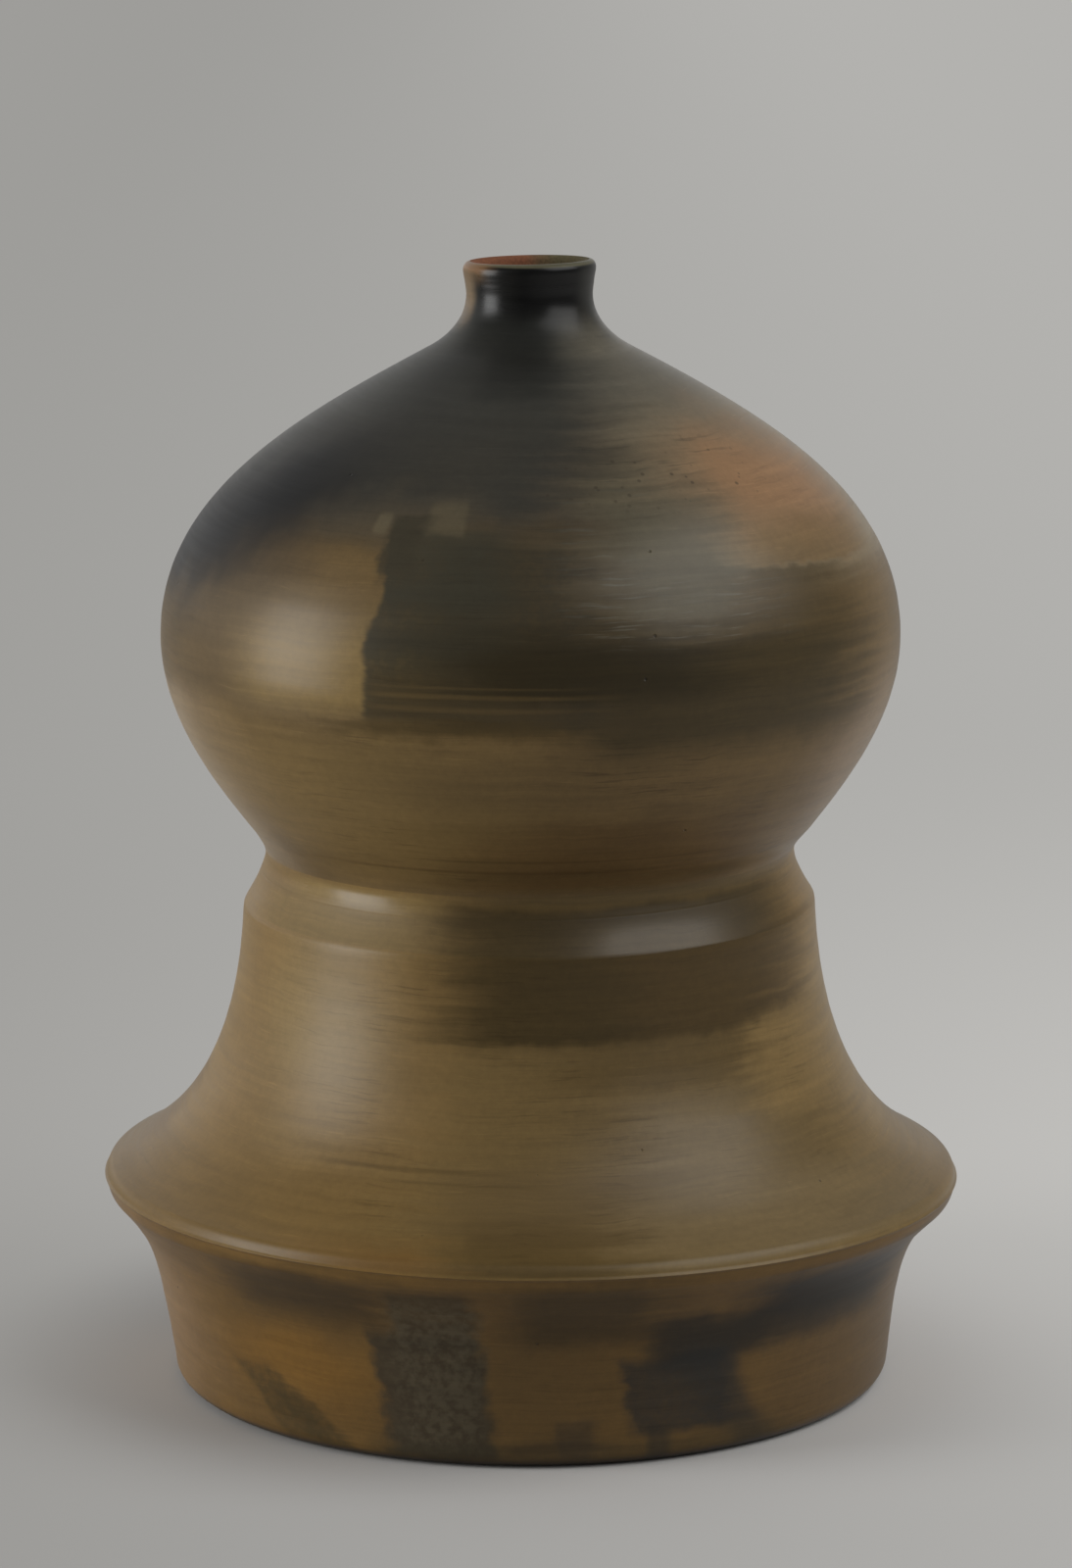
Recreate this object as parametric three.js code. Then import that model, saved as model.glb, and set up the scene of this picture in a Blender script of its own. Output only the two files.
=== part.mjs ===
// Bottle vase of burnished, smoke-fired earthenware, built from thrown sections that are luted together.
// Millimetres, +Z up, origin at the centre of the flat base.

import * as THREE from 'three';
import { mergeVertices } from 'three/addons/utils/BufferGeometryUtils.js';

// Heights of the sections, from the base up
const FLOOR_THICKNESS = 9;
const FOOT_HEIGHT = 66; // base to the flange seam
const BELL_HEIGHT = 89.3; // flange seam to the collar's arris
const COLLAR_HEIGHT = 18.4; // arris to the waist
const BULB_LOWER_HEIGHT = 67.4; // waist to the belly seam, where the bulb is widest
const BULB_UPPER_HEIGHT = 90.7; // belly seam to the neck seam
const NECK_HEIGHT = 28.2; // neck seam to the top of the lip

// Outside radii
const BASE_RADIUS = 108.5; // flat that the vase stands on
const FOOT_RADIUS = 115.3; // drum just above the rounded base edge
const FLANGE_RADIUS = 137.3;
const COLLAR_RADIUS = 91.4;
const WAIST_RADIUS = 84.2;
const BULB_RADIUS = 117.4;
const NECK_SEAM_RADIUS = 32.7;
const NECK_RADIUS = 19.6; // neck at its narrowest
const LIP_RADIUS = 20.6;

// Inside radii of the neck
const THROAT_RADIUS = 15.9; // level with the neck's narrowest ring
const MOUTH_RADIUS = 16.8;

// Width of the wall, measured level, at the floor and at each seam
const FOOT_WALL = 7;
const FLANGE_WALL = 10;
const COLLAR_WALL = 7;
const WAIST_WALL = 7.5;
const BELLY_WALL = 5.5;
const NECK_SEAM_WALL = 9.5;

// Edges
const BASE_EDGE_HEIGHT = 6; // rounded lower edge of the floor
const FLANGE_EDGE_BELOW = 5; // rounded edge of the flange, below its seam
const FLANGE_EDGE_ABOVE = 4.4; // and above it
const FLANGE_TURN_BELOW = 2; // how far the edge turns in below the seam
const FLANGE_TURN_ABOVE = 2.6; // and above it
const NARROWEST_BELOW_LIP = 10.7; // the neck's narrowest ring, below the top of the lip
const LIP_ROUND = 2.6; // height of the half-round on the lip

// Lean of the wall, as run outwards for a unit of rise
const UPRIGHT = 0;
const FOOT_LEAN = 0.13;
const FLANGE_UNDER_LEAN = 1.07;
const FLANGE_RIDGE_LEAN = 0.25; // out below the flange's fine ridge, and in above it
const FLANGE_TOP_LEAN = -2.09;
const BELL_TOP_LEAN = -0.04;
const COLLAR_LEAN = -0.65;
const BULB_LEAN = 0.72;
const SHOULDER_LEAN = -1.86;
const LIP_LEAN = 0.2;

// Pull of each curve: how far the wall keeps the lean that it has at its end
const FOOT_PULL = 34;
const FLANGE_UNDER_PULL = 17;
const FLANGE_EDGE_PULL = 1.8;
const FLANGE_TOP_PULL = 32;
const BELL_TOP_PULL = 42;
const COLLAR_PULL = 6.2;
const WAIST_BELOW_PULL = 6.5;
const WAIST_ABOVE_PULL = 18;
const BELLY_BELOW_PULL = 29;
const BELLY_ABOVE_PULL = 43;
const SHOULDER_PULL = 51;
const NECK_SEAM_PULL = 5.8;
const THROAT_SEAM_PULL = 2.5;
const NECK_PULL = 8.9;
const LIP_PULL = 2.5;

// Coils of soft clay behind the seams
const COIL_HALF_WIDTH = 7; // up and down from the seam
const COIL_DEPTH = 4; // how far a coil's face swells in from the wall
const FLOOR_COIL = 8; // legs of the coil in the corner of the floor
const SLIP_GAP = 0.3; // film of slip between a coil and the wall

// Facets
const TURN_STEPS = 44; // round the axis
const COIL_STEPS = 4; // up the face of a coil

// Levels of the seams
const FLANGE_Z = FOOT_HEIGHT;
const COLLAR_Z = FLANGE_Z + BELL_HEIGHT;
const WAIST_Z = COLLAR_Z + COLLAR_HEIGHT;
const BELLY_Z = WAIST_Z + BULB_LOWER_HEIGHT;
const NECK_Z = BELLY_Z + BULB_UPPER_HEIGHT;
const TOP_Z = NECK_Z + NECK_HEIGHT;

// Point of a profile: radius from the axis and height
function at(radius, z) {
  return new THREE.Vector2(radius, z);
}

// End of a stretch of wall: where it is, and the lean and pull that it has there
function end(point, lean, pull) {
  return { point, pull: at(lean, 1).setLength(pull) };
}

// Points on a smooth stretch of wall between two ends, upwards
function sweep(low, high, steps) {
  const leave = low.point.clone().add(low.pull);
  const arrive = high.point.clone().sub(high.pull);
  return new THREE.CubicBezierCurve(low.point, leave, arrive, high.point).getPoints(steps);
}

// Points on an arc of an ellipse about a centre
function rounded(centre, reach, rise, fromAngle, toAngle, steps) {
  const clockwise = toAngle < fromAngle;
  const arc = new THREE.EllipseCurve(centre.x, centre.y, reach, rise, fromAngle, toAngle, clockwise);
  return arc.getPoints(steps);
}

// Radius of a wall at a level, found on its own facets
function radiusAt(wall, z) {
  const above = wall.findIndex((point) => point.y >= z);
  const next = above < 0 ? wall.length - 1 : Math.max(1, above);
  const share = (z - wall[next - 1].y) / (wall[next].y - wall[next - 1].y);
  return THREE.MathUtils.lerp(wall[next - 1].x, wall[next].x, share);
}

// Closed ring or disc, turned from the outline of its cross-section
function turned(outline) {
  const anticlockwise = THREE.ShapeUtils.area(outline) > 0;
  const facingOut = anticlockwise ? outline : [...outline].reverse();
  const geometry = new THREE.LatheGeometry([...facingOut, facingOut[0]], TURN_STEPS);
  geometry.deleteAttribute('normal');
  geometry.deleteAttribute('uv');
  geometry.rotateX(Math.PI / 2);
  const closed = mergeVertices(geometry, 1e-4);
  closed.computeVertexNormals();
  return closed;
}

// Cross-section between the outside and the inside of a wall, both listed upwards
function wallSection(outside, inside) {
  return [...outside, ...[...inside].reverse()];
}

// Floor: a slab with a rounded lower edge. The drum stands on its rim.
const floorRim = at(FOOT_RADIUS + FOOT_LEAN * (FLOOR_THICKNESS - BASE_EDGE_HEIGHT), FLOOR_THICKNESS);
const baseEdge = rounded(
  at(BASE_RADIUS, BASE_EDGE_HEIGHT),
  FOOT_RADIUS - BASE_RADIUS,
  BASE_EDGE_HEIGHT,
  -Math.PI / 2,
  0,
  4,
);
const floorOutline = [at(0, 0), ...baseEdge, floorRim, at(0, FLOOR_THICKNESS)];

// Foot drum: flares from the floor to the underside of the flange
const footFoot = at(floorRim.x - FOOT_WALL, FLOOR_THICKNESS);
const underFlange = at(FLANGE_RADIUS - FLANGE_TURN_BELOW, FLANGE_Z - FLANGE_EDGE_BELOW);
const flangeSeam = at(FLANGE_RADIUS, FLANGE_Z);
const flangeSeamInside = at(FLANGE_RADIUS - FLANGE_WALL, FLANGE_Z);
const footFlare = sweep(
  end(floorRim, FOOT_LEAN, FOOT_PULL),
  end(underFlange, FLANGE_UNDER_LEAN, FLANGE_UNDER_PULL),
  8,
);
const flangeEdgeBelow = sweep(
  end(underFlange, FLANGE_UNDER_LEAN, FLANGE_EDGE_PULL),
  end(flangeSeam, FLANGE_RIDGE_LEAN, FLANGE_EDGE_PULL),
  3,
);
const footOutside = [...footFlare, ...flangeEdgeBelow.slice(1)];
const footInside = sweep(
  end(footFoot, FOOT_LEAN, FOOT_PULL),
  end(flangeSeamInside, FLANGE_UNDER_LEAN, FLANGE_UNDER_PULL),
  7,
);

// Bell: rolls over the edge of the flange and sweeps up to the collar
const overFlange = at(FLANGE_RADIUS - FLANGE_TURN_ABOVE, FLANGE_Z + FLANGE_EDGE_ABOVE);
const collarSeam = at(COLLAR_RADIUS, COLLAR_Z);
const collarSeamInside = at(COLLAR_RADIUS - COLLAR_WALL, COLLAR_Z);
const flangeEdgeAbove = sweep(
  end(flangeSeam, -FLANGE_RIDGE_LEAN, FLANGE_EDGE_PULL),
  end(overFlange, FLANGE_TOP_LEAN, FLANGE_EDGE_PULL),
  3,
);
const bellSweep = sweep(
  end(overFlange, FLANGE_TOP_LEAN, FLANGE_TOP_PULL),
  end(collarSeam, BELL_TOP_LEAN, BELL_TOP_PULL),
  11,
);
const bellOutside = [...flangeEdgeAbove, ...bellSweep.slice(1)];
const bellInside = sweep(
  end(flangeSeamInside, FLANGE_TOP_LEAN, FLANGE_TOP_PULL),
  end(collarSeamInside, BELL_TOP_LEAN, BELL_TOP_PULL),
  9,
);

// Collar: a cove that leaves the arris and ends upright at the waist
const waistSeam = at(WAIST_RADIUS, WAIST_Z);
const waistSeamInside = at(WAIST_RADIUS - WAIST_WALL, WAIST_Z);
const collarOutside = sweep(
  end(collarSeam, COLLAR_LEAN, COLLAR_PULL),
  end(waistSeam, UPRIGHT, WAIST_BELOW_PULL),
  6,
);
const collarInside = sweep(
  end(collarSeamInside, COLLAR_LEAN, COLLAR_PULL),
  end(waistSeamInside, UPRIGHT, WAIST_BELOW_PULL),
  4,
);

// Bulb: two bowls, rim to rim at the belly
const bellySeam = at(BULB_RADIUS, BELLY_Z);
const bellySeamInside = at(BULB_RADIUS - BELLY_WALL, BELLY_Z);
const neckSeam = at(NECK_SEAM_RADIUS, NECK_Z);
const neckSeamInside = at(NECK_SEAM_RADIUS - NECK_SEAM_WALL, NECK_Z);
const lowerOutside = sweep(
  end(waistSeam, BULB_LEAN, WAIST_ABOVE_PULL),
  end(bellySeam, UPRIGHT, BELLY_BELOW_PULL),
  9,
);
const lowerInside = sweep(
  end(waistSeamInside, BULB_LEAN, WAIST_ABOVE_PULL),
  end(bellySeamInside, UPRIGHT, BELLY_BELOW_PULL),
  7,
);
const upperOutside = sweep(
  end(bellySeam, UPRIGHT, BELLY_ABOVE_PULL),
  end(neckSeam, SHOULDER_LEAN, SHOULDER_PULL),
  13,
);
const upperInside = sweep(
  end(bellySeamInside, UPRIGHT, BELLY_ABOVE_PULL),
  end(neckSeamInside, SHOULDER_LEAN, SHOULDER_PULL),
  10,
);

// Neck: a cove up to the narrowest ring, then out to the beaded lip
const narrowest = at(NECK_RADIUS, TOP_Z - NARROWEST_BELOW_LIP);
const throat = at(THROAT_RADIUS, narrowest.y);
const lipOutside = at(LIP_RADIUS, TOP_Z - LIP_ROUND);
const lipInside = at(MOUTH_RADIUS, lipOutside.y);
const lipCentre = lipOutside.clone().lerp(lipInside, 0.5);
const lip = rounded(lipCentre, (LIP_RADIUS - MOUTH_RADIUS) / 2, LIP_ROUND, 0, Math.PI, 6);
const neckCove = sweep(
  end(neckSeam, SHOULDER_LEAN, NECK_SEAM_PULL),
  end(narrowest, UPRIGHT, NECK_PULL),
  7,
);
const lipFlare = sweep(end(narrowest, UPRIGHT, LIP_PULL), end(lipOutside, LIP_LEAN, LIP_PULL), 3);
const neckOutside = [...neckCove, ...lipFlare.slice(1), ...lip.slice(1, -1)];
const throatCove = sweep(
  end(neckSeamInside, SHOULDER_LEAN, THROAT_SEAM_PULL),
  end(throat, UPRIGHT, NECK_PULL),
  5,
);
const mouthFlare = sweep(end(throat, UPRIGHT, LIP_PULL), end(lipInside, LIP_LEAN, LIP_PULL), 2);
const neckInside = [...throatCove, ...mouthFlare.slice(1)];

// Coil in the corner of the floor and the drum, wiped to a hollow fillet
const coilFoot = at(footFoot.x - SLIP_GAP, FLOOR_THICKNESS + SLIP_GAP);
const coilTop = coilFoot.y + FLOOR_COIL;
const filletCentre = at(coilFoot.x - FLOOR_COIL, coilTop);
const fillet = rounded(filletCentre, FLOOR_COIL, FLOOR_COIL - SLIP_GAP, 0, -Math.PI / 2, 4);
const floorCoilOutline = [
  coilFoot,
  at(radiusAt(footInside, coilTop) - SLIP_GAP, coilTop),
  ...fillet,
  at(coilFoot.x - FLOOR_COIL, coilFoot.y),
];

// Stretch of a wall between two levels, with the wall's own points in it
function stretch(wall, low, high) {
  const within = wall.filter((point) => point.y > low + SLIP_GAP && point.y < high - SLIP_GAP);
  return [at(radiusAt(wall, low), low), ...within, at(radiusAt(wall, high), high)];
}

// Coil pressed over the inside of a seam: its back follows both walls, and its face fills any hollow
// between them and swells in the middle
function coilOutline(wallBelow, wallAbove, seamZ) {
  const below = stretch(wallBelow, seamZ - COIL_HALF_WIDTH, seamZ);
  const above = stretch(wallAbove, seamZ, seamZ + COIL_HALF_WIDTH);
  const back = [...below, ...above.slice(1)].map((point) => at(point.x - SLIP_GAP, point.y));
  const across = [back[0], back[back.length - 1]];
  const face = [];
  for (let step = 1; step < COIL_STEPS; step++) {
    const rise = 1 - (2 * step) / COIL_STEPS;
    const z = seamZ + rise * COIL_HALF_WIDTH;
    const foundation = Math.min(radiusAt(back, z), radiusAt(across, z));
    face.push(at(foundation - COIL_DEPTH * Math.sqrt(1 - rise * rise), z));
  }
  return [...back, ...face];
}

// Fired colours: tan at the foot, olive on the skirt, smoked brown on the bulb, black neck, raw inside
const TAN = { color: 0x7a6242, roughness: 0.42 };
const OLIVE = { color: 0x5c4e30, roughness: 0.4 };
const BROWN = { color: 0x4a3d2a, roughness: 0.36 };
const BLACK = { color: 0x242422, roughness: 0.3 };
const TERRACOTTA = { color: 0x8a5634, roughness: 0.85 };

const PIECES = [
  ['floor_disc', floorOutline, TAN],
  ['foot_drum', wallSection(footOutside, footInside), TAN],
  ['skirt_bell', wallSection(bellOutside, bellInside), OLIVE],
  ['waist_collar', wallSection(collarOutside, collarInside), OLIVE],
  ['bulb_lower', wallSection(lowerOutside, lowerInside), BROWN],
  ['bulb_upper', wallSection(upperOutside, upperInside), BROWN],
  ['neck_ring', wallSection(neckOutside, neckInside), BLACK],
  ['floor_coil', floorCoilOutline, TERRACOTTA],
  ['flange_coil', coilOutline(footInside, bellInside, FLANGE_Z), TERRACOTTA],
  ['collar_coil', coilOutline(bellInside, collarInside, COLLAR_Z), TERRACOTTA],
  ['waist_coil', coilOutline(collarInside, lowerInside, WAIST_Z), TERRACOTTA],
  ['belly_coil', coilOutline(lowerInside, upperInside, BELLY_Z), TERRACOTTA],
];

const vase = new THREE.Group();
for (const [name, outline, finish] of PIECES) {
  const mesh = new THREE.Mesh(turned(outline), new THREE.MeshStandardMaterial({ ...finish, metalness: 0 }));
  mesh.name = name;
  vase.add(mesh);
}

export default vase;
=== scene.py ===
# Bottle vase of burnished, smoke-fired earthenware. Its looks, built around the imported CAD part.
# Metres, +Z up, origin at the centre of the flat base. The front of the photograph faces -Y.

import bmesh
import bpy
import numpy as np
from mathutils import Euler, Matrix, Vector


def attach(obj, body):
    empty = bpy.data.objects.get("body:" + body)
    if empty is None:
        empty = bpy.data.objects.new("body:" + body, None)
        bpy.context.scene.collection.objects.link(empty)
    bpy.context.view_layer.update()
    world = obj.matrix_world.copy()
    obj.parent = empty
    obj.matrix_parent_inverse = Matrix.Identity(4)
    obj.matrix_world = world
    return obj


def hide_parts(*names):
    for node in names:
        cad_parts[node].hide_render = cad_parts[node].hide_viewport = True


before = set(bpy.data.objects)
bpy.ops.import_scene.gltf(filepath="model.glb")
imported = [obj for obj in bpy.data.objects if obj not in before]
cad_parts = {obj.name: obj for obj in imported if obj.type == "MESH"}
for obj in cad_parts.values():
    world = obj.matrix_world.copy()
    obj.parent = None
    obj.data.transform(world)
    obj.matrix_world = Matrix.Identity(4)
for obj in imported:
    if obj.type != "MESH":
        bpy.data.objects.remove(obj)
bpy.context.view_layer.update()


# Floor: a slab of terracotta beaten flat and cut round, with its lower edge rounded by a wet sponge.
# The drum of the foot stands on its rim. Only its edge was burnished. It was left raw below and inside.

MM = 0.001
AROUND = 320  # steps round the axis
FLOOR_TOP = 9.0
FLOOR_RIM = (115.69, FLOOR_TOP)
BASE_FLAT = 108.5  # radius of the flat that the vase stands on
BASE_EDGE = (6.8, 6.0)  # reach and rise of the rounded edge
UNDERSIDE_RING = (60.0, 0.0)  # rings that divide the flat underside and the flat top
FLOOR_RING = (100.0, FLOOR_TOP)

# A thrown wall is never quite round: shares of the radius that two and three lobes take, the rise in which
# each drifts by a radian, and the depth of the fingers' two spirals, with the rise of a radian for each
LOBES = (0.0006, 0.0003)
LOBE_DRIFT = (60.0, 45.0)
SPIRAL_DEPTH = 0.015
SPIRAL_RISE = (1.3, 2.1)

# Rings of a thrown pot are never quite level or centred: the rise of each level to the right and to the
# back, for a unit of run, how far the level sinks, and how far its ring lies to the right
RING_LEVEL = (0.0, 9.0, 66.0, 155.3, 241.0, 331.8, 360.0)
RISE_RIGHT = (0.0, 0.0, -0.008, 0.0105, 0.004, 0.008, 0.018)
RISE_BACK = (0.0, 0.0, -0.004, 0.0077, 0.002, -0.002, -0.024)
RING_SINK = (0.0, 0.0, 0.0, 0.0, 0.0, 0.15, 0.6)
SHIFT_LEVEL = (0, 9, 28, 52, 61, 71, 80, 155.3, 166, 173.7, 181, 241, 310, 340, 360)
SHIFT_RIGHT = (0, 0, -0.6, -0.7, 0, 0, -0.5, -0.4, -0.5, 0, 0.9, 0.15, -0.4, 0, 0.1)

SHARP_ANGLE = 22.0  # degrees between faces from which an edge shows
WELD_REACH = 1e-7  # metres within which points on the axis become one


def arc(centre, reach, rise, start, stop, steps):
    """Points (radius, height) on an ellipse about a centre, between two angles."""
    angle = np.linspace(start, stop, steps + 1)
    return np.stack([centre[0] + reach * np.cos(angle), centre[1] + rise * np.sin(angle)], axis=-1)


def thrown(outline):
    """Outline points (radius, height) carried once round the axis: a grid of turn by outline, in metres.

    The radius shrinks by less than a five-hundredth, in two and three slow lobes that drift with the height,
    and by a few hundredths of a millimetre in two spirals, the sines of turn and height, that the fingers
    left. The ring shifts with its level and lies on it.
    """
    turn = np.linspace(0.0, 2.0 * np.pi, AROUND, endpoint=False)[:, None]
    radius, height = np.asarray(outline, float).T
    twos = LOBES[0] * (1.0 + np.sin(2.0 * turn + height / LOBE_DRIFT[0]))
    threes = LOBES[1] * (1.0 + np.sin(3.0 * turn - height / LOBE_DRIFT[1]))
    spirals = np.sin(height / SPIRAL_RISE[0] + turn) + np.sin(height / SPIRAL_RISE[1] - turn) - 2.0
    reach = radius * (1.0 - twos - threes) + SPIRAL_DEPTH * spirals * (height > 0.0) * (radius > 0.0)
    right, back = reach * np.sin(turn), -reach * np.cos(turn)
    level = height - np.interp(height, RING_LEVEL, RING_SINK)
    level = level + np.interp(height, RING_LEVEL, RISE_RIGHT) * right
    level = level + np.interp(height, RING_LEVEL, RISE_BACK) * back
    right = right + np.interp(height, SHIFT_LEVEL, SHIFT_RIGHT)
    return np.stack([right, back, level], axis=-1) * MM


def turned(name, outline, burnished):
    """Closed piece turned about the axis: quads between neighbours on the grid of turn by outline.

    The outline runs up the outside and down the inside. It closes on itself, or on the axis where it starts
    there. Its steps between the two burnished places take the first material, and the others the second.
    """
    grid = thrown(outline)
    turns, steps = grid.shape[:2]
    place = np.arange(turns * steps).reshape(turns, steps)
    on_axis = outline[0][0] == 0.0
    here = place[:, :-1] if on_axis else place
    above = place[:, 1:] if on_axis else np.roll(place, -1, axis=1)
    quads = np.stack([here, np.roll(here, -1, axis=0), np.roll(above, -1, axis=0), above], axis=-1)
    step = np.arange(here.shape[1])
    raw = (step < burnished[0]) | (step >= burnished[1])
    mesh = bpy.data.meshes.new(name)
    mesh.from_pydata(grid.reshape(-1, 3), [], quads.reshape(-1, 4).tolist())
    mesh.polygons.foreach_set("material_index", np.tile(raw, turns).astype(np.int32))
    if on_axis:
        welded = bmesh.new()
        welded.from_mesh(mesh)
        bmesh.ops.remove_doubles(welded, verts=welded.verts, dist=WELD_REACH)
        welded.to_mesh(mesh)
        welded.free()
    mesh.shade_smooth()
    mesh.set_sharp_from_angle(angle=np.radians(SHARP_ANGLE))
    piece = bpy.data.objects.new(name, mesh)
    bpy.context.scene.collection.objects.link(piece)
    return piece


def fitted(piece, node, slot, *finishes):
    """Gives a piece its materials, and says that it rides on the one body and stands for a CAD node."""
    for finish in finishes:
        piece.data.materials.append(finish)
    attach(piece, "root")
    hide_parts(node)


def linear(colour):
    """sRGB hex to linear light: a twelfth below the toe, and the power 2.4 of the lifted value above it."""
    share = np.array([int(colour[k : k + 2], 16) for k in (1, 3, 5)]) / 255.0
    light = np.where(share <= 0.04045, share / 12.92, ((share + 0.055) / 1.055) ** 2.4)
    return (*light.tolist(), 1.0)


def bare_material(name):
    """A new material and its node tree, which is empty."""
    material = bpy.data.materials.new(name)
    material.use_nodes = True
    material.node_tree.nodes.clear()
    return material, material.node_tree


def add(tree, kind, settings=(), inputs=()):
    """Adds a shader node with settings by name and inputs by name or place, and gives its outputs."""
    node = tree.nodes.new("ShaderNode" + kind)
    for key, value in dict(settings).items():
        setattr(node, key, value)
    for key, value in dict(inputs).items():
        if isinstance(value, bpy.types.NodeSocket):
            tree.links.new(value, node.inputs[key])
        else:
            node.inputs[key].default_value = value
    return node.outputs


# Settings that many nodes share
SMOOTH = {"interpolation_type": "SMOOTHSTEP"}
TIMES = {"operation": "MULTIPLY"}
TIMES_PLUS = {"operation": "MULTIPLY_ADD"}
COLOURS = {"data_type": "RGBA"}

# Fired clay has the index of most silicates, and half the usual mirror because it is open
CLAY_IOR = 1.5
CLAY_MIRROR = 0.25


def smoke_fired(name, clay, flush, gloss, marks):
    """Burnished earthenware, fired in sawdust and smoke.

    The eye sees a satin skin that mirrors lamps as soft patches, clay that drifts between two tones, soot
    clouds, resist patches with crumbling edges, level strokes from the burnishing stone, sand specks and a
    few pores. Marks are laid in order. Each has a colour, a strength and maybe a roughness of its own, its
    gloss, and a place on the wall in degrees round from the front and millimetres up. A cloud is a tilted
    ellipse with a soft rim. A patch has a left, right, lower and upper side, each with a softness, and an
    edge that is crumbled, wavy or crisp. It may slant by some degrees for a millimetre up, fray in level
    tears by some degrees and millimetres, and be mottled, dashed or pitted.
    """
    material, tree = bare_material(name)
    spot = add(tree, "TexCoord")["Object"]
    x, y, z = add(tree, "SeparateXYZ", inputs={0: spot})
    front = add(tree, "Math", TIMES, {0: y, 1: -1.0})[0]
    turn = add(tree, "Math", {"operation": "ARCTAN2"}, {0: x, 1: front})[0]
    degrees = add(tree, "Math", {"operation": "DEGREES"}, {0: turn})[0]
    rise = add(tree, "Math", {"operation": "DIVIDE"}, {0: z, 1: MM})[0]
    wall = add(tree, "CombineXYZ", inputs={0: degrees, 1: rise})[0]

    # Smoke drifts in swirls 25 mm wide, the edge of a resist crumbles at 6 mm, and the skin mottles at
    # 2.5 mm. How far each moves a mark is in degrees and millimetres
    drift = add(tree, "TexNoise", inputs={"Vector": spot, "Scale": 1 / (25 * MM), "Detail": 3.0})[1]
    crumb = add(tree, "TexNoise", inputs={"Vector": spot, "Scale": 1 / (6 * MM), "Detail": 4.0})[1]
    mottle = add(tree, "TexNoise", inputs={"Vector": spot, "Scale": 1 / (2.5 * MM), "Detail": 3.0})[0]
    swirl = np.array((14.0, 18.0, 0.0))
    waver = np.array((4.0, 6.0, 0.0))
    break_up = np.array((4.0, 4.0, 0.0))
    drifted = add(tree, "VectorMath", TIMES_PLUS, {0: drift, 1: swirl, 2: wall})[0]
    wavered = add(tree, "VectorMath", TIMES_PLUS, {0: drift, 1: waver, 2: wall})[0]
    crumbled = add(tree, "VectorMath", TIMES_PLUS, {0: crumb, 1: break_up, 2: wavered})[0]
    edges = {
        "crumbled": (crumbled, waver + break_up),
        "wavy": (wavered, waver),
        "crisp": (wall, np.zeros(3)),
    }

    # The stone's strokes, 60 by 0.9 mm, scratches of 13 by 0.5 mm, dashes of 15 by 0.75 mm where the stone
    # pressed, and torn edges of 40 by 2.6 mm, all swaying by 3 mm
    swaying = add(tree, "VectorMath", TIMES_PLUS, {0: drift, 1: (0.0, 0.0, 3 * MM), 2: spot})[0]
    streaks = []
    for length, width, detail in ((60, 0.9, 3.0), (13, 0.5, 2.0), (15, 0.75, 3.0), (40, 2.6, 4.0)):
        drawn_out = {0: swaying, "Scale": (1 / (length * MM), 1 / (length * MM), 1 / (width * MM))}
        along = add(tree, "Mapping", inputs=drawn_out)[0]
        streaks.append(add(tree, "TexNoise", inputs={"Vector": along, "Scale": 1.0, "Detail": detail})[0])
    stroke, scratch, dash, tear = streaks
    patchy = add(tree, "TexNoise", inputs={"Vector": spot, "Scale": 1 / (38 * MM), "Detail": 1.0})[0]
    pressed = add(tree, "MapRange", SMOOTH, {0: patchy, 1: 0.4, 2: 0.6})[0]
    dash = add(tree, "MapRange", SMOOTH, {0: dash, 1: 0.54, 2: 0.7})[0]
    dash = add(tree, "Math", TIMES, {0: dash, 1: pressed})[0]
    rubbed = add(tree, "MapRange", SMOOTH, {0: patchy, 1: 0.62, 2: 0.42})[0]
    # Pale scratch lines where the skin was rubbed; their paleness, added to the shade below, is in part
    # painted glints
    scratch_and_glint = add(tree, "MapRange", SMOOTH, {0: scratch, 1: 0.62, 2: 0.76})[0]
    scratch_and_glint = add(tree, "Math", TIMES, {0: scratch_and_glint, 1: rubbed})[0]

    # Pits of 1 mm where sand was dragged out of the skin, one for each 4 mm
    nest = add(tree, "TexVoronoi", inputs={"Vector": spot, "Scale": 1 / (4 * MM)})["Distance"]
    pit = add(tree, "MapRange", SMOOTH, {0: nest, 1: 0.22, 2: 0.1})[0]

    # A pore every few centimetres, in some of the cells of 12 mm
    cells = add(tree, "TexVoronoi", inputs={"Vector": spot, "Scale": 1 / (12 * MM)})
    hole = add(tree, "MapRange", inputs={0: cells["Distance"], 1: 0.055, 2: 0.025})[0]
    rare = add(tree, "MapRange", inputs={0: cells["Color"], 1: 0.60, 2: 0.62})[0]
    pore = add(tree, "Math", TIMES, {0: hole, 1: rare})[0]

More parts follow.
